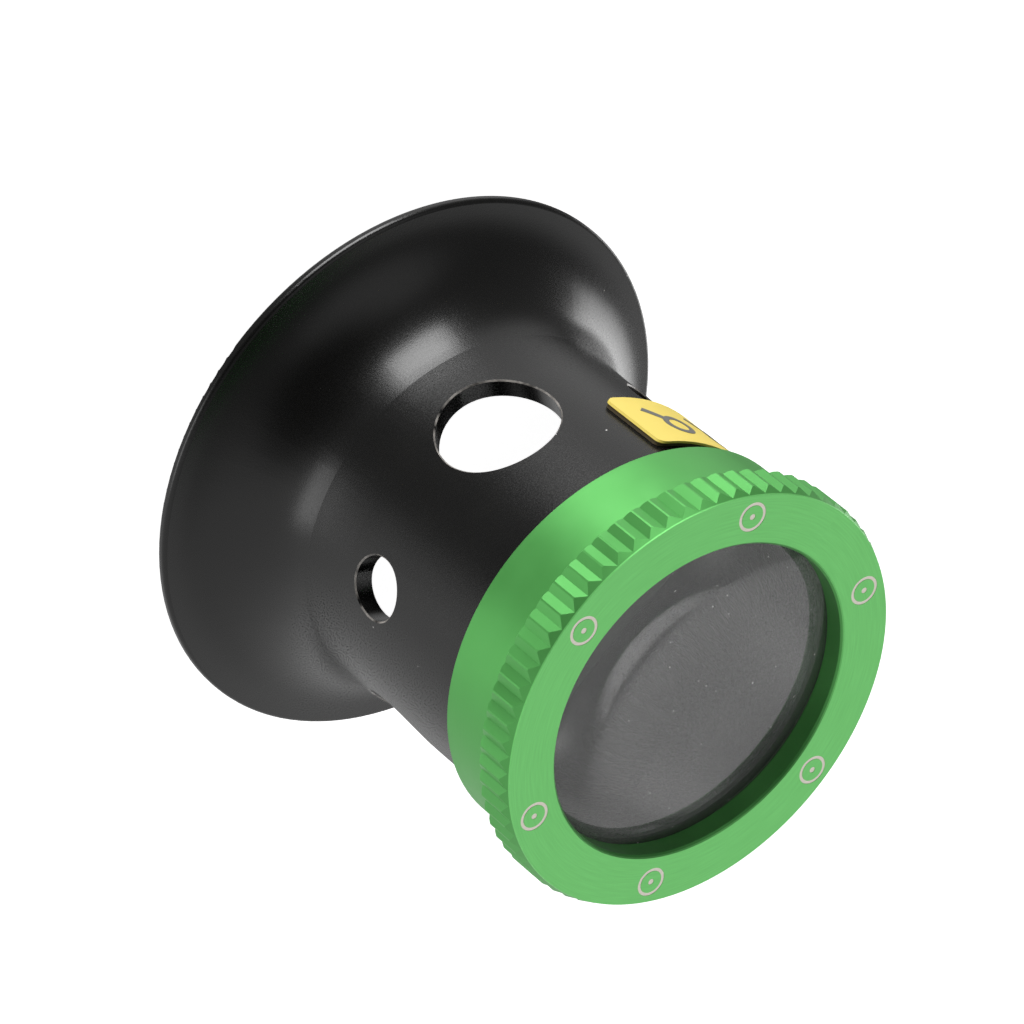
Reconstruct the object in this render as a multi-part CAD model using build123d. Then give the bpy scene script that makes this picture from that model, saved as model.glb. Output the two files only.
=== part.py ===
from build123d import *
import math
import os

# Watchmaker's eye loupe, in millimetres.
# The optical axis is +Z. The loupe stands on its eyecup rim at z = 0, with its lens at the top.
# The origin is the centre of the rim plane. A large vent hole faces +X and the label faces -X.

# ---- driving dimensions ----

RIM_DIAMETER = 50.0
BARREL_DIAMETER = 33.46
BARREL_WALL = 1.7
OVERALL_LENGTH = 41.4
BEZEL_LENGTH = 10.1
KNURL_DIAMETER = 38.6
KNURL_LENGTH = 3.65
WINDOW_DIAMETER = 28.7
THREAD_PITCH = 0.75

# ---- eyecup shell ----

RIM_RADIUS = RIM_DIAMETER / 2
RIM_THICKNESS = 1.0
RIM_FACE_WIDTH = 1.4
RIM_OUTER_ROUND = 0.42
RIM_INNER_ROUND = 0.3
BARREL_RADIUS = BARREL_DIAMETER / 2
BORE_RADIUS = BARREL_RADIUS - BARREL_WALL
FLARE_START = 15.0          # height where the barrel starts to open into the trumpet
FLARE_LEAD_RADIUS = 58.0    # long gentle arc that leads into the trumpet
FLARE_LEAD_ANGLE = 5.0

VENT_HEIGHT = 18.85
VENT_COUNT = 3
LARGE_VENT_DIAMETER = 10.4
SMALL_VENT_DIAMETER = 5.4
VENT_EDGE_BREAK = 0.12

# ---- bezel ----

BEZEL_BACK = OVERALL_LENGTH - BEZEL_LENGTH
BAND_RADIUS = 17.9
BAND_EDGE_BREAK = 0.2
KNURL_RADIUS = KNURL_DIAMETER / 2
KNURL_BACK = OVERALL_LENGTH - KNURL_LENGTH
TOOTH_COUNT = 72
TOOTH_DEPTH = 0.32
TOOTH_CREST_SHARE = 0.1     # part of each tooth's pitch that is a flat crest
FACE_RADIUS = 18.9
FACE_BEVEL_LENGTH = 0.85
KNURL_BACK_BEVEL = 0.15
WINDOW_RADIUS = WINDOW_DIAMETER / 2
WINDOW_CHAMFER = 0.25
LIP_THICKNESS = 1.95
LIP_BACK = OVERALL_LENGTH - LIP_THICKNESS

MARK_COUNT = 6
MARK_FIRST_ANGLE = 30.0
MARK_CIRCLE_RADIUS = 16.95
MARK_RADIUS = 1.32
MARK_LINE = 0.27
MARK_DOT_RADIUS = 0.26
MARK_POCKET_DEPTH = 0.12
MARK_INLAY_DEPTH = 0.1
MARK_CLEARANCE = 0.01

# ---- threads: male on the shell's neck, female in the bezel, clear of each other ----

THREAD_CLEARANCE = 0.15
THREAD_DEPTH = 0.35
NECK_RADIUS = 16.2
NECK_START = BEZEL_BACK - 0.3
NECK_END = 34.9
NECK_LEAD_IN = 0.3
FEMALE_RADIUS = NECK_RADIUS + THREAD_CLEARANCE

# ---- lens and what holds it ----

LENS_RADIUS = 15.2
LENS_CURVE_RADIUS = 78.0
LENS_EDGE_THICKNESS = 1.9
LENS_BEVEL = 0.15
SEAT_GAP = 0.05
POCKET_CLEARANCE = 0.1
POCKET_RADIUS = LENS_RADIUS + POCKET_CLEARANCE
POCKET_BACK = 36.2
INNER_APERTURE_RADIUS = 14.2
RETAINER_THICKNESS = 1.0
RETAINER_TOP = POCKET_BACK - 0.08
RETAINER_RADIUS = FEMALE_RADIUS - 0.05
SPANNER_SLOT_WIDTH = 1.2
SPANNER_SLOT_DEPTH = 0.5

# ---- label ----

LABEL_CHORD = 17.3
LABEL_BOTTOM = 21.7
LABEL_TOP = 29.3
LABEL_CORNER = 0.7
LABEL_GAP = 0.03
PAD_THICKNESS = 0.32
PLATE_THICKNESS = 0.2
PAD_INSET = 0.1
INK_THICKNESS = 0.03


def sag(radius):
    """Depth of the lens's curved face at a distance from the axis."""
    return LENS_CURVE_RADIUS - math.sqrt(LENS_CURVE_RADIUS ** 2 - radius ** 2)


LENS_EDGE_TOP = LIP_BACK - SEAT_GAP + sag(WINDOW_RADIUS) - sag(LENS_RADIUS)
LENS_EDGE_BOTTOM = LENS_EDGE_TOP - LENS_EDGE_THICKNESS


def polar(radius, degrees):
    angle = math.radians(degrees)
    return (radius * math.cos(angle), radius * math.sin(angle))


def spin(edges):
    """Revolves a closed outline in the XZ plane about the optical axis."""
    return revolve(make_face(Wire(edges)), axis=Axis.Z)


def spin_polygon(points):
    """Revolves a polygon of (radius, height) corners about the optical axis."""
    return spin(Polyline(*[(r, 0, z) for r, z in points], close=True).edges())


def join(points):
    """Straight lines from each (radius, height) point to the next."""
    return Polyline(*[(r, 0, z) for r, z in points]).edges()


def flare(start_radius, end_radius, end_height):
    """Two tangent arcs in the XZ plane, from the straight barrel out to the rim.

    The first arc leaves the barrel gently. The second one's radius and end angle are worked
    out so that it goes on from the first and ends at the rim point.
    """
    lead = math.radians(FLARE_LEAD_ANGLE)
    middle_radius = start_radius + FLARE_LEAD_RADIUS * (1 - math.cos(lead))
    middle_height = FLARE_START - FLARE_LEAD_RADIUS * math.sin(lead)
    run = end_radius - middle_radius
    drop = middle_height - end_height
    chord_angle = math.atan2(run, drop)
    end_angle = 2 * chord_angle - lead
    turn_radius = run / (math.cos(lead) - math.cos(end_angle))

    def on_arc(radius, height, arc_radius, from_angle, angle):
        out = radius + arc_radius * (math.cos(from_angle) - math.cos(angle))
        down = height - arc_radius * (math.sin(angle) - math.sin(from_angle))
        return (out, 0, down)

    start = (start_radius, 0, FLARE_START)
    lead_middle = on_arc(start_radius, FLARE_START, FLARE_LEAD_RADIUS, 0, lead / 2)
    middle = (middle_radius, 0, middle_height)
    half_way = (lead + end_angle) / 2
    turn_middle = on_arc(middle_radius, middle_height, turn_radius, lead, half_way)
    end = (end_radius, 0, end_height)
    return [ThreePointArc(start, lead_middle, middle), ThreePointArc(middle, turn_middle, end)]


def thread_groove(radius, start, end, inward):
    """A V-shaped helical groove, cut inward from a shaft or outward from a bore."""
    depth = -THREAD_DEPTH if inward else THREAD_DEPTH
    overrun = -0.1 if depth > 0 else 0.1
    half_width = THREAD_PITCH * 0.42
    helix = Helix(pitch=THREAD_PITCH, height=end - start, radius=radius, center=(0, 0, start))
    corners = [
        (radius + overrun, 0, start - half_width),
        (radius + depth, 0, start),
        (radius + overrun, 0, start + half_width),
    ]
    profile = make_face(Polyline(*corners, close=True))
    return sweep(profile, path=helix, is_frenet=True)


def vent(diameter, degrees):
    """A radial cutter through one side of the barrel."""
    reach = BARREL_RADIUS + 6
    drill = Cylinder(diameter / 2, reach, align=(Align.CENTER, Align.CENTER, Align.MIN))
    return Pos(0, 0, VENT_HEIGHT) * Rot(0, 0, degrees) * Rot(0, 90, 0) * drill


def on_vent_mouth(edge):
    """True for the edges where a vent meets the shell's outer surface."""
    points = [edge @ t for t in (0, 0.25, 0.5, 0.75, 1)]
    near_vent = all(abs(p.Z - VENT_HEIGHT) < LARGE_VENT_DIAMETER / 2 + 0.1 for p in points)
    outside = all(math.hypot(p.X, p.Y) > BARREL_RADIUS - 0.01 for p in points)
    level = max(p.Z for p in points) - min(p.Z for p in points) < 0.01
    return near_vent and outside and not level


def eyecup_shell():
    rim_outer = (RIM_RADIUS, RIM_THICKNESS)
    rim_inner = (RIM_RADIUS - RIM_FACE_WIDTH, 0)
    outline = flare(BARREL_RADIUS, *rim_outer)
    outline += join([rim_outer, (RIM_RADIUS, 0), rim_inner])
    outline += flare(BORE_RADIUS, *rim_inner)
    outline += join([
        (BORE_RADIUS, FLARE_START),
        (BORE_RADIUS, NECK_END),
        (NECK_RADIUS - NECK_LEAD_IN, NECK_END),
        (NECK_RADIUS, NECK_END - NECK_LEAD_IN),
        (NECK_RADIUS, NECK_START),
        (BARREL_RADIUS, NECK_START),
        (BARREL_RADIUS, FLARE_START),
    ])
    shell = spin(outline)

    def rim_edges(radius, height):
        near = shell.edges().filter_by(GeomType.CIRCLE)
        near = near.filter_by(lambda e: abs(e.radius - radius) < 0.01)
        return near.filter_by(lambda e: abs(e.center().Z - height) < 0.01)

    shell = fillet(rim_edges(*rim_outer) + rim_edges(RIM_RADIUS, 0), RIM_OUTER_ROUND)
    shell = fillet(rim_edges(*rim_inner), RIM_INNER_ROUND)

    step = 360 / VENT_COUNT
    for i in range(VENT_COUNT):
        shell -= vent(LARGE_VENT_DIAMETER, i * step)
        shell -= vent(SMALL_VENT_DIAMETER, (i + 0.5) * step)
    mouths = shell.edges().filter_by(on_vent_mouth)
    shell = chamfer(mouths, VENT_EDGE_BREAK)

    groove_start = NECK_START + THREAD_PITCH
    shell -= thread_groove(NECK_RADIUS, groove_start, NECK_END + THREAD_PITCH, inward=True)
    return shell


def knurl():
    """Straight knurling: shallow V teeth with narrow flat crests, bevelled at both ends."""
    pitch = 360 / TOOTH_COUNT
    half_crest = pitch * TOOTH_CREST_SHARE / 2
    corners = []
    for i in range(TOOTH_COUNT):
        crest = i * pitch
        corners.append(polar(KNURL_RADIUS, crest - half_crest))
        corners.append(polar(KNURL_RADIUS, crest + half_crest))
        corners.append(polar(KNURL_RADIUS - TOOTH_DEPTH, crest + pitch / 2))
    teeth = extrude(make_face(Polyline(*corners, close=True)), KNURL_LENGTH)
    envelope = spin_polygon([
        (0, KNURL_BACK),
        (KNURL_RADIUS - KNURL_BACK_BEVEL, KNURL_BACK),
        (KNURL_RADIUS, KNURL_BACK + KNURL_BACK_BEVEL),
        (KNURL_RADIUS, OVERALL_LENGTH - FACE_BEVEL_LENGTH),
        (FACE_RADIUS, OVERALL_LENGTH),
        (0, OVERALL_LENGTH),
    ])
    return (Pos(0, 0, KNURL_BACK) * teeth) & envelope


def mark(grow, bottom, height):
    """A ring with a dot in its middle, as one flat piece each."""
    outer = Cylinder(MARK_RADIUS + grow, height)
    inner = Cylinder(MARK_RADIUS - MARK_LINE - grow, height)
    dot = Cylinder(MARK_DOT_RADIUS + grow, height)
    lift = Pos(MARK_CIRCLE_RADIUS, 0, bottom + height / 2)
    return [lift * (outer - inner), lift * dot]


def marks(grow, bottom, height):
    pieces = []
    for i in range(MARK_COUNT):
        turn = Rot(0, 0, MARK_FIRST_ANGLE + i * 360 / MARK_COUNT)
        pieces += [turn * piece for piece in mark(grow, bottom, height)]
    return pieces


def lens_bezel():
    band = spin_polygon([
        (0, BEZEL_BACK),
        (BAND_RADIUS - BAND_EDGE_BREAK, BEZEL_BACK),
        (BAND_RADIUS, BEZEL_BACK + BAND_EDGE_BREAK),
        (BAND_RADIUS, KNURL_BACK + 0.5),
        (0, KNURL_BACK + 0.5),
    ])
    inside = spin_polygon([
        (0, BEZEL_BACK - 1),
        (FEMALE_RADIUS + NECK_LEAD_IN + 1, BEZEL_BACK - 1),
        (FEMALE_RADIUS, BEZEL_BACK + NECK_LEAD_IN),
        (FEMALE_RADIUS, POCKET_BACK),
        (POCKET_RADIUS, POCKET_BACK),
        (POCKET_RADIUS, LIP_BACK),
        (WINDOW_RADIUS, LIP_BACK),
        (WINDOW_RADIUS, OVERALL_LENGTH - WINDOW_CHAMFER),
        (WINDOW_RADIUS + WINDOW_CHAMFER + 1, OVERALL_LENGTH + 1),
        (0, OVERALL_LENGTH + 1),
    ])
    bezel = band + knurl() - inside
    groove_end = POCKET_BACK - THREAD_PITCH
    bezel -= thread_groove(FEMALE_RADIUS, BEZEL_BACK - THREAD_PITCH, groove_end, inward=False)
    for pocket in marks(MARK_CLEARANCE, OVERALL_LENGTH - MARK_POCKET_DEPTH, 1):
        bezel -= pocket
    return bezel


def index_mark_inlays():
    floor = OVERALL_LENGTH - MARK_POCKET_DEPTH
    return Compound(marks(0, floor, MARK_INLAY_DEPTH))


def magnifier_lens():
    rim_top = (LENS_RADIUS, LENS_EDGE_TOP - LENS_BEVEL)
    rim_bottom = (LENS_RADIUS, LENS_EDGE_BOTTOM + LENS_BEVEL)
    edge_radius = LENS_RADIUS - LENS_BEVEL
    half_way = edge_radius / 2
    front_pole = LENS_EDGE_TOP + sag(LENS_RADIUS)
    back_pole = LENS_EDGE_BOTTOM - sag(LENS_RADIUS)

    def front(radius):
        return (radius, 0, front_pole - sag(radius))

    def back(radius):
        return (radius, 0, back_pole + sag(radius))

    outline = [
        ThreePointArc(front(0), front(half_way), front(edge_radius)),
        Line(front(edge_radius), (rim_top[0], 0, rim_top[1])),
        Line((rim_top[0], 0, rim_top[1]), (rim_bottom[0], 0, rim_bottom[1])),
        Line((rim_bottom[0], 0, rim_bottom[1]), back(edge_radius)),
        ThreePointArc(back(edge_radius), back(half_way), back(0)),
        Line(back(0), front(0)),
    ]
    return spin(outline)


def lens_gasket():
    top = LENS_EDGE_BOTTOM - sag(LENS_RADIUS) + sag(INNER_APERTURE_RADIUS) - SEAT_GAP
    bottom = RETAINER_TOP + SEAT_GAP
    return spin_polygon([
        (INNER_APERTURE_RADIUS, bottom),
        (LENS_RADIUS, bottom),
        (LENS_RADIUS, top),
        (INNER_APERTURE_RADIUS, top),
    ])


def lens_retaining_ring():
    bottom = RETAINER_TOP - RETAINER_THICKNESS
    ring = spin_polygon([
        (INNER_APERTURE_RADIUS, bottom),
        (RETAINER_RADIUS, bottom),
        (RETAINER_RADIUS, RETAINER_TOP),
        (INNER_APERTURE_RADIUS, RETAINER_TOP),
    ])
    slot = Box(3 * RETAINER_RADIUS, SPANNER_SLOT_WIDTH, 2 * SPANNER_SLOT_DEPTH)
    return ring - Pos(0, 0, bottom) * slot


def wrapped(sketch, inner_radius, thickness):
    """A flat outline, drawn as seen from -X, wrapped on the barrel as a thin curved plate."""
    sleeve = Cylinder(inner_radius + thickness, OVERALL_LENGTH)
    sleeve -= Cylinder(inner_radius, OVERALL_LENGTH)
    sleeve = Pos(0, 0, OVERALL_LENGTH / 2) * sleeve
    facing = Plane(origin=(0, 0, 0), x_dir=(0, -1, 0), z_dir=(-1, 0, 0))
    prism = extrude(facing * sketch, 2 * BARREL_RADIUS)
    return sleeve & prism


def label_outline(inset):
    width = LABEL_CHORD - 2 * inset
    height = LABEL_TOP - LABEL_BOTTOM - 2 * inset
    return RectangleRounded(width, height, LABEL_CORNER)


def label_layers():
    """The adhesive pad, the plate on it, and the loupe pictogram printed on the plate."""
    centre = Pos(0, (LABEL_BOTTOM + LABEL_TOP) / 2)
    pad_radius = BARREL_RADIUS + LABEL_GAP
    plate_radius = pad_radius + PAD_THICKNESS
    ink_radius = plate_radius + PLATE_THICKNESS
    pad = wrapped(centre * label_outline(PAD_INSET), pad_radius, PAD_THICKNESS)
    plate = wrapped(centre * label_outline(0), plate_radius, PLATE_THICKNESS)
    ink = wrapped(centre * pictogram(), ink_radius, INK_THICKNESS)
    return pad, plate, ink


def pictogram():
    """A row of three plain loupe signs: each is a ring with a handle."""
    stroke = 0.55
    ring_radius = 1.45
    handle_length = 2.1
    sign = Circle(ring_radius) - Circle(ring_radius - stroke)
    handle = Rectangle(handle_length, stroke * 1.2, align=(Align.MIN, Align.CENTER))
    sign += Rot(0, 0, -45) * Pos(ring_radius - stroke / 2, 0) * handle
    row = Sketch()
    for place in (-1, 0, 1):
        row += Pos(place * 5.0 - 0.6, 0.6) * sign
    return row


pad, plate, ink = label_layers()
nodes = {
    "eyecup_shell": eyecup_shell(),
    "lens_bezel": lens_bezel(),
    "magnifier_lens": magnifier_lens(),
    "lens_gasket": lens_gasket(),
    "lens_retaining_ring": lens_retaining_ring(),
    "label_pad": pad,
    "label_plate": plate,
    "label_pictogram": ink,
    "index_mark_inlays": index_mark_inlays(),
}

os.makedirs("parts", exist_ok=True)
for name, solid in nodes.items():
    export_step(solid, f"parts/{name}.step")
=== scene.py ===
import math

import bpy
from mathutils import Matrix, Vector

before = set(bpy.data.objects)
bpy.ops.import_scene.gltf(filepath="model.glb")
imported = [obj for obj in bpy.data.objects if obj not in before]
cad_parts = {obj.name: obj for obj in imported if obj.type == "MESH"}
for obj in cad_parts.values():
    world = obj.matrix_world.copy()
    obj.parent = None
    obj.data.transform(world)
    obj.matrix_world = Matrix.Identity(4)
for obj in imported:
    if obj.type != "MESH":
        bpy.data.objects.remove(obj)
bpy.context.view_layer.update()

MM = 0.001

# ---- camera: fitted to the rim, window and bezel circles of the real object ----

CAMERA_AZIMUTH = 265.29      # direction from the aim point to the camera, degrees from +X
CAMERA_ELEVATION = 41.29
CAMERA_ROLL = 129.11         # turn about the line of sight: the loupe is shown lying down
CAMERA_DISTANCE = 511.5 * MM
CAMERA_AIM = Vector((-2.26, 0.19, 12.97)) * MM
CAMERA_LENS = 216.3
CAMERA_SENSOR = 36.0

# ---- places on the part that its finish follows ----

VENT_COUNT = 3
VENT_HEIGHT = 18.85 * MM
LARGE_VENT_RADIUS = 5.2 * MM
SMALL_VENT_RADIUS = 2.7 * MM
VENT_EDGE_WIDTH = 0.13 * MM
VENT_EDGE_DEPTH = 16.55 * MM   # distance from the axis at which a vent's broken edge starts
BEZEL_FRONT = 41.3 * MM        # height at which the bezel's flat front face begins

# ---- finishes: widths, spacings and depths of what a close look shows ----

GRAIN_SIZE = 0.16 * MM         # bead-blasted grain under the black
GRAIN_DEPTH = 0.006 * MM
TURNING_LINE_SIZE = 0.12 * MM
TURNING_LINE_STRETCH = 0.6 * MM   # how far the noise moves in one radian round the bezel
TURNING_LINE_DEPTH = 0.004 * MM
FOAM_SIZE = 0.15 * MM
FOAM_DEPTH = 0.01 * MM
DUST_RADIUS = 0.07 * MM
DUST_SHARE = 0.45              # share of the cells that hold a speck
SHELL_DUST_SPACING = 2.2 * MM
LENS_DUST_SPACING = 1.4 * MM
CLEAR_GLASS = 0.955            # share of the light that goes through; the rest is a faint white veil, a painted sheen
DUSTY_GLASS = 0.3
LOW_NOISE = 0.3                # noise seldom leaves the range between these two values
HIGH_NOISE = 0.7

# ---- studio ----

FLOOR_SIZE = 6.0
FLOOR_TONE = 0.9
FLOOR_BRIGHT_TONE = 0.92
FLOOR_MOTTLE_SIZE = 10 * MM
FLOOR_GLOW = 1.05
STUDIO_TONE = 0.15           # radiance of the studio all round the object
STUDIO_PATCHES = {
    # azimuth, elevation, degrees to the end of the even middle and to the edge, radiance
    "white_table": (5, 0, 50, 85, 0.72),
    "bright_wall": (85, 42, 15, 44, 0.98),
    "table_glow": (178, -52, 12, 40, 0.8),
    "ceiling": (208, 54, 10, 30, 0.6),
    "dark_camera_side": (262, 25, 18, 48, 0.02),
}
LIGHT_DISTANCE = 1.2
LIGHT_TARGET = Vector((0, 0, 20)) * MM
LIGHTS = {
    # azimuth, elevation, width and height in degrees as seen from the object, radiance
    "key_softbox": (220, -15, 34, 31, 9.0),
    "window": (112, -10, 34, 28, 2.3),
    "low_fill": (308, -22, 30, 20, 2.2),
}


def direction(azimuth, elevation):
    """Unit vector towards an azimuth and elevation in degrees."""
    a = math.radians(azimuth)
    e = math.radians(elevation)
    return Vector((math.cos(e) * math.cos(a), math.cos(e) * math.sin(a), math.sin(e)))


def look_from(place, target, roll=0.0):
    """World matrix of a camera or light that stands at a place and faces the target."""
    back = (place - target).normalized()
    right = Vector((0, 0, 1)).cross(back).normalized()
    up = back.cross(right)
    turn = Matrix((right, up, back)).transposed().to_4x4()
    return Matrix.Translation(place) @ turn @ Matrix.Rotation(math.radians(roll), 4, "Z")


def add_camera():
    data = bpy.data.cameras.new("camera")
    data.lens = CAMERA_LENS
    data.sensor_width = CAMERA_SENSOR
    data.clip_start = 0.01
    data.clip_end = 20.0
    camera = bpy.data.objects.new("camera", data)
    place = CAMERA_AIM + direction(CAMERA_AZIMUTH, CAMERA_ELEVATION) * CAMERA_DISTANCE
    camera.matrix_world = look_from(place, CAMERA_AIM, CAMERA_ROLL)
    bpy.context.scene.collection.objects.link(camera)
    bpy.context.scene.camera = camera


def panel_size(degrees):
    return 2 * LIGHT_DISTANCE * math.tan(math.radians(degrees) / 2)


def add_light(name, azimuth, elevation, width, height, radiance):
    data = bpy.data.lights.new(name, "AREA")
    data.shape = "RECTANGLE"
    data.size = panel_size(width)
    data.size_y = panel_size(height)
    data.energy = radiance * math.pi * data.size * data.size_y
    light = bpy.data.objects.new(name, data)
    place = LIGHT_TARGET + direction(azimuth, elevation) * LIGHT_DISTANCE
    light.matrix_world = look_from(place, LIGHT_TARGET)
    light.visible_camera = False
    bpy.context.scene.collection.objects.link(light)


# ---- node helpers ----

MIX_COLOUR_A = 6        # a Mix node's sockets when it mixes colours
MIX_COLOUR_B = 7
MIX_COLOUR_RESULT = 2


class Graph:
    """A material's or world's node tree, with short ways to add and link nodes."""

    def __init__(self, tree):
        self.tree = tree

    def set(self, socket, value):
        if isinstance(value, bpy.types.NodeSocket):
            self.tree.links.new(value, socket)
        else:
            socket.default_value = value

    def add(self, kind, inputs, output=0, **settings):
        made = self.tree.nodes.new(kind)
        for key, value in settings.items():
            setattr(made, key, value)
        for key, value in inputs.items():
            self.set(made.inputs[key], value)
        return made.outputs[output]

    def math(self, operation, a, b=0.0, c=0.0):
        return self.add("ShaderNodeMath", {0: a, 1: b, 2: c}, operation=operation)

    def ramp(self, value, low, high, out_low=0.0, out_high=1.0, smooth=False):
        kind = "SMOOTHSTEP" if smooth else "LINEAR"
        limits = {"Value": value, "From Min": low, "From Max": high}
        limits.update({"To Min": out_low, "To Max": out_high})
        return self.add("ShaderNodeMapRange", limits, interpolation_type=kind)

    def blend(self, factor, a, b):
        """Colour a where the factor is 0 and colour b where it is 1."""
        a, b = [(*colour, 1) if isinstance(colour, tuple) else colour for colour in (a, b)]
        inputs = {0: factor, MIX_COLOUR_A: a, MIX_COLOUR_B: b}
        return self.add("ShaderNodeMix", inputs, output=MIX_COLOUR_RESULT, data_type="RGBA")

    def place(self):
        return self.add("ShaderNodeTexCoord", {}, output="Object")

    def noise(self, vector, size, detail=2.0):
        """Noise whose patches are about as wide as size, in metres."""
        inputs = {"Vector": vector, "Scale": 1 / size, "Detail": detail}
        return self.add("ShaderNodeTexNoise", inputs)

    def vary(self, noise, low, high):
        """A value that the noise moves between two ends."""
        return self.ramp(noise, LOW_NOISE, HIGH_NOISE, low, high)

    def dust(self, spacing):
        """1 on scattered specks: some of the cells of a given size hold one speck each."""
        cells = {"Vector": self.place(), "Scale": 1 / spacing}
        distance = self.add("ShaderNodeTexVoronoi", cells, output="Distance")
        colour = self.add("ShaderNodeTexVoronoi", cells, output="Color")
        draw = self.add("ShaderNodeSeparateColor", {"Color": colour})
        chosen = self.math("LESS_THAN", draw, DUST_SHARE)
        speck = self.math("LESS_THAN", distance, DUST_RADIUS / spacing)
        return self.math("MULTIPLY", speck, chosen)

    def bump(self, height, depth):
        return self.add("ShaderNodeBump", {"Height": height, "Distance": depth})

    def length(self, a, b):
        squares = self.math("ADD", self.math("MULTIPLY", a, a), self.math("MULTIPLY", b, b))
        return self.math("SQRT", squares)

    def round_axis(self):
        """Distance from the optical axis, angle round it in radians, and height."""
        parts = self.tree.nodes.new("ShaderNodeSeparateXYZ")
        self.set(parts.inputs[0], self.place())
        x, y, z = parts.outputs
        return self.length(x, y), self.math("ARCTAN2", y, x), z

    def turning_lines(self):
        """Noise drawn out into fine lines that run round the optical axis."""
        radius, angle, height = self.round_axis()
        stretched = self.math("MULTIPLY", angle, TURNING_LINE_STRETCH)
        vector = self.add("ShaderNodeCombineXYZ", {0: radius, 1: stretched, 2: height})
        return self.noise(vector, TURNING_LINE_SIZE, detail=3.0)

    def between(self, value, low, high):
        above = self.math("GREATER_THAN", value, low)
        return self.math("MULTIPLY", above, self.math("LESS_THAN", value, high))


def new_material(name, **constants):
    material = bpy.data.materials.new(name)
    material.use_nodes = True
    shader = material.node_tree.nodes["Principled BSDF"]
    for key, value in constants.items():
        shader.inputs[key.replace("_", " ")].default_value = value
    return material, Graph(material.node_tree), shader.inputs


def add_floor():
    """White paper that glows a little, so that it photographs as pure white.

    Reflections don't see it and it casts no shadow, because the object is shown lying on its
    side: part of the light that falls on it then comes from below the floor.
    """
    h = FLOOR_SIZE / 2
    mesh = bpy.data.meshes.new("floor")
    mesh.from_pydata([(-h, -h, 0), (h, -h, 0), (h, h, 0), (-h, h, 0)], [], [(0, 1, 2, 3)])
    floor = bpy.data.objects.new("floor", mesh)
    material, graph, sockets = new_material("floor_paper", Roughness=0.9)
    mottle = graph.noise(graph.place(), FLOOR_MOTTLE_SIZE)
    white = graph.blend(mottle, (FLOOR_TONE,) * 3, (FLOOR_BRIGHT_TONE,) * 3)
    graph.set(sockets["Base Color"], white)
    graph.set(sockets["Emission Color"], white)
    sockets["Emission Strength"].default_value = FLOOR_GLOW
    floor.data.materials.append(material)
    floor.visible_glossy = False
    floor.visible_shadow = False
    bpy.context.scene.collection.objects.link(floor)


def set_world():
    """A studio of smooth light and dark patches, plain white where the camera sees it."""
    world = bpy.data.worlds.new("studio")
    bpy.context.scene.world = world
    world.use_nodes = True
    graph = Graph(world.node_tree)
    view = graph.add("ShaderNodeTexCoord", {}, output="Generated")
    tone = STUDIO_TONE
    for azimuth, elevation, core, edge, radiance in STUDIO_PATCHES.values():
        toward = {0: view, 1: direction(azimuth, elevation)}
        nearness = graph.add("ShaderNodeVectorMath", toward, output="Value", operation="DOT_PRODUCT")
        limits = (math.cos(math.radians(edge)), math.cos(math.radians(core)))
        tone = graph.ramp(nearness, *limits, tone, radiance, smooth=True)
    seen = graph.add("ShaderNodeLightPath", {}, output="Is Camera Ray")
    background = world.node_tree.nodes["Background"]
    graph.set(background.inputs["Strength"], graph.math("MAXIMUM", tone, seen))
    background.inputs["Color"].default_value = (1, 1, 1, 1)


# ---- materials ----

def vent_edges(graph):
    """1 on the broken edges of the vents: three large ones, and three small ones between."""
    radius, angle, height = graph.round_axis()
    sector = 2 * math.pi / VENT_COUNT
    up = graph.math("SUBTRACT", height, VENT_HEIGHT)
    outside = graph.math("GREATER_THAN", radius, VENT_EDGE_DEPTH)
    edges = 0.0
    for hole_radius, turn in ((LARGE_VENT_RADIUS, 0), (SMALL_VENT_RADIUS, sector / 2)):
        turned = graph.math("WRAP", graph.math("ADD", angle, turn), sector / 2, -sector / 2)
        across = graph.math("MULTIPLY", radius, graph.math("SINE", turned))
        distance = graph.length(across, up)
        edge = graph.between(distance, hole_radius, hole_radius + VENT_EDGE_WIDTH)
        edges = graph.math("MAXIMUM", graph.math("MULTIPLY", edge, outside), edges)
    return edges


def black_anodised(name):
    """Bead-blasted aluminium, anodised satin black, with a broken pale grey line along the vents'
    edges, a little dusty.
    """
    material, graph, sockets = new_material(name)
    here = graph.place()
    grain = graph.noise(here, GRAIN_SIZE, detail=3.0)
    patchy = graph.ramp(graph.noise(here, 1.2 * MM), 0.35, 0.65)
    # a pale grey line painted along the vents' edges, broken up by noise
    pale_vent_edge = graph.math("MULTIPLY", vent_edges(graph), patchy)
    pale_edge_grey = (0.3, 0.28, 0.26)
    dust_colour = (0.75, 0.74, 0.72)
    black = graph.blend(graph.noise(here, 4 * MM), (0.0024, 0.0024, 0.0023), (0.0042, 0.0041, 0.0038))
    worn = graph.blend(pale_vent_edge, black, pale_edge_grey)
    graph.set(sockets["Base Color"], graph.blend(graph.dust(SHELL_DUST_SPACING), worn, dust_colour))
    graph.set(sockets["Roughness"], graph.vary(grain, 0.23, 0.3))
    graph.set(sockets["Normal"], graph.bump(grain, GRAIN_DEPTH))
    return material


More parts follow.
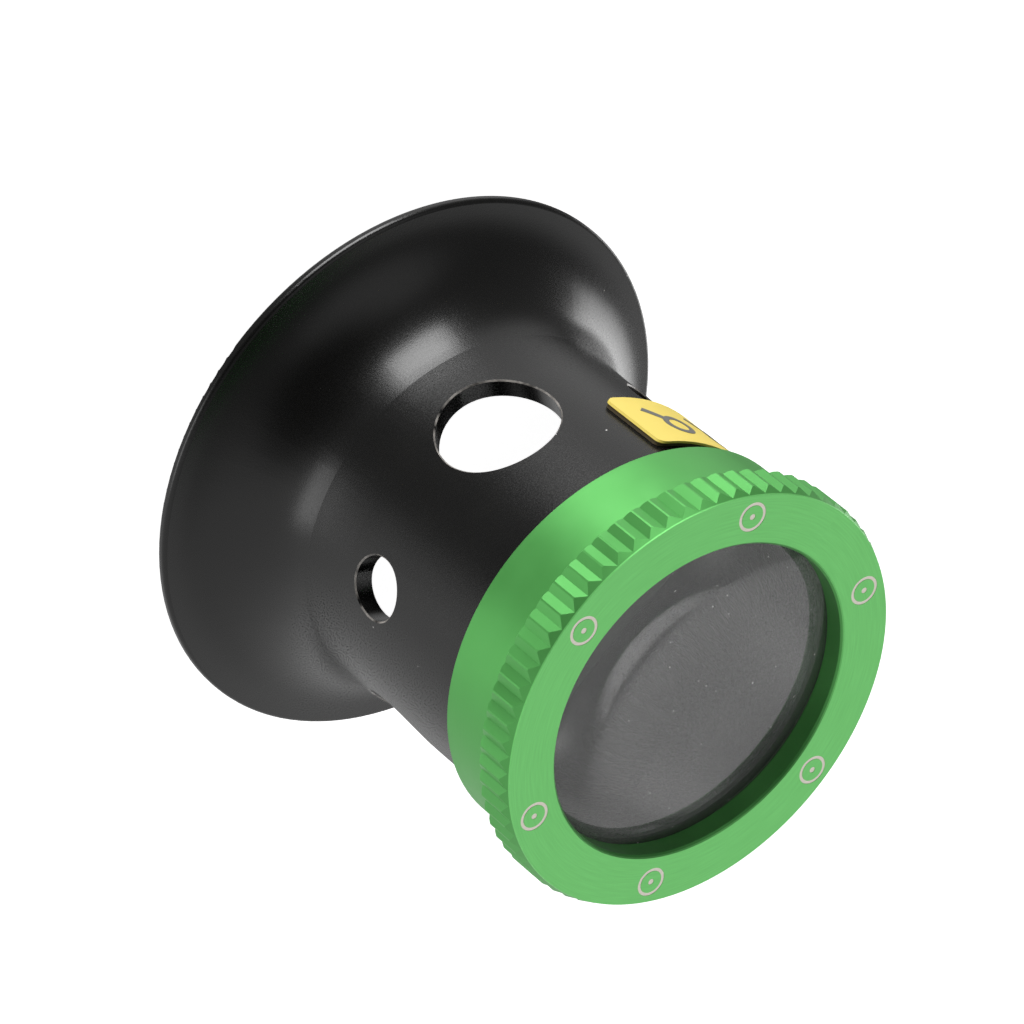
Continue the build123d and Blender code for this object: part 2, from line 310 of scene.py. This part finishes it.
def green_anodised(name):
    """Fine-turned aluminium, anodised green, with painted light: its front face is painted a brighter
    green and its side a darker one, a lit and a shaded copy of one anodising.
    """
    material, graph, sockets = new_material(name, Metallic=0.6)
    height = graph.round_axis()[2]
    front = graph.math("GREATER_THAN", height, BEZEL_FRONT)
    lines = graph.turning_lines()
    mottle = graph.noise(graph.place(), 3 * MM)
    # painted light and shade: the side gets a darker, shaded green and the front face a brighter, lit
    # green of the same anodising
    shaded_side_green = graph.blend(mottle, (0.085, 0.36, 0.08), (0.1, 0.395, 0.096))
    lit_front_green = graph.blend(mottle, (0.2, 0.7, 0.195), (0.22, 0.745, 0.21))
    line_green = (0.08, 0.4, 0.08)
    green = graph.blend(front, shaded_side_green, lit_front_green)
    graph.set(sockets["Base Color"], graph.blend(graph.vary(lines, 0, 0.2), green, line_green))
    graph.set(sockets["Roughness"], graph.vary(mottle, 0.36, 0.42))
    graph.set(sockets["Normal"], graph.bump(lines, TURNING_LINE_DEPTH))
    return material


def lens_glass(name):
    """Clear glass with a faint white veil, a painted sheen that greys it, and a few specks of dust.
    """
    material, graph, sockets = new_material(name, Roughness=0.0, IOR=1.52)
    dust = graph.dust(LENS_DUST_SPACING)
    graph.set(sockets["Base Color"], graph.blend(dust, (1.0, 1.0, 1.0), (0.9, 0.9, 0.88)))
    # painted sheen: the part of the light that doesn't go through is scattered as a faint white veil
    graph.set(sockets["Transmission Weight"], graph.ramp(dust, 0, 1, CLEAR_GLASS, DUSTY_GLASS))
    return material


def rubber(name):
    """Soft black rubber."""
    material, graph, sockets = new_material(name)
    grain = graph.noise(graph.place(), 0.2 * MM)
    graph.set(sockets["Base Color"], graph.blend(grain, (0.012, 0.012, 0.012), (0.025, 0.025, 0.024)))
    graph.set(sockets["Roughness"], graph.vary(grain, 0.6, 0.8))
    return material


def adhesive(name):
    """The label's dark foam pad."""
    material, graph, sockets = new_material(name, Roughness=0.8)
    foam = graph.noise(graph.place(), FOAM_SIZE)
    graph.set(sockets["Base Color"], graph.blend(foam, (0.02, 0.014, 0.006), (0.07, 0.05, 0.015)))
    graph.set(sockets["Normal"], graph.bump(foam, FOAM_DEPTH))
    return material


def label_film(name):
    """Satin yellow film, a little uneven in tone."""
    material, graph, sockets = new_material(name)
    mottle = graph.noise(graph.place(), 1.5 * MM)
    graph.set(sockets["Base Color"], graph.blend(mottle, (0.68, 0.53, 0.09), (0.72, 0.57, 0.115)))
    graph.set(sockets["Roughness"], graph.vary(mottle, 0.35, 0.45))
    return material


def print_ink(name):
    """Dark grey print, slightly worn."""
    material, graph, sockets = new_material(name, Roughness=0.55)
    worn = graph.noise(graph.place(), 0.3 * MM)
    graph.set(sockets["Base Color"], graph.blend(worn, (0.09, 0.09, 0.085), (0.15, 0.15, 0.14)))
    return material


def mark_paint(name):
    """Pale metallic paint that fills the index marks, slightly uneven."""
    material, graph, sockets = new_material(name, Roughness=0.5, Metallic=0.7)
    uneven = graph.noise(graph.place(), 0.2 * MM)
    graph.set(sockets["Base Color"], graph.blend(uneven, (0.78, 0.72, 0.62), (0.95, 0.9, 0.82)))
    return material


def dress():
    """Gives every node its material."""
    black = black_anodised("black_anodised")
    finishes = {
        "eyecup_shell": black,
        "lens_retaining_ring": black,
        "lens_bezel": green_anodised("green_anodised"),
        "magnifier_lens": lens_glass("lens_glass"),
        "lens_gasket": rubber("gasket_rubber"),
        "label_pad": adhesive("label_adhesive"),
        "label_plate": label_film("label_film"),
        "label_pictogram": print_ink("label_ink"),
        "index_mark_inlays": mark_paint("mark_paint"),
    }
    for name, material in finishes.items():
        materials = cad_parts[name].data.materials
        materials.clear()
        materials.append(material)


add_camera()
set_world()
add_floor()
for name, values in LIGHTS.items():
    add_light(name, *values)
dress()
bpy.context.scene.view_settings.view_transform = "Standard"
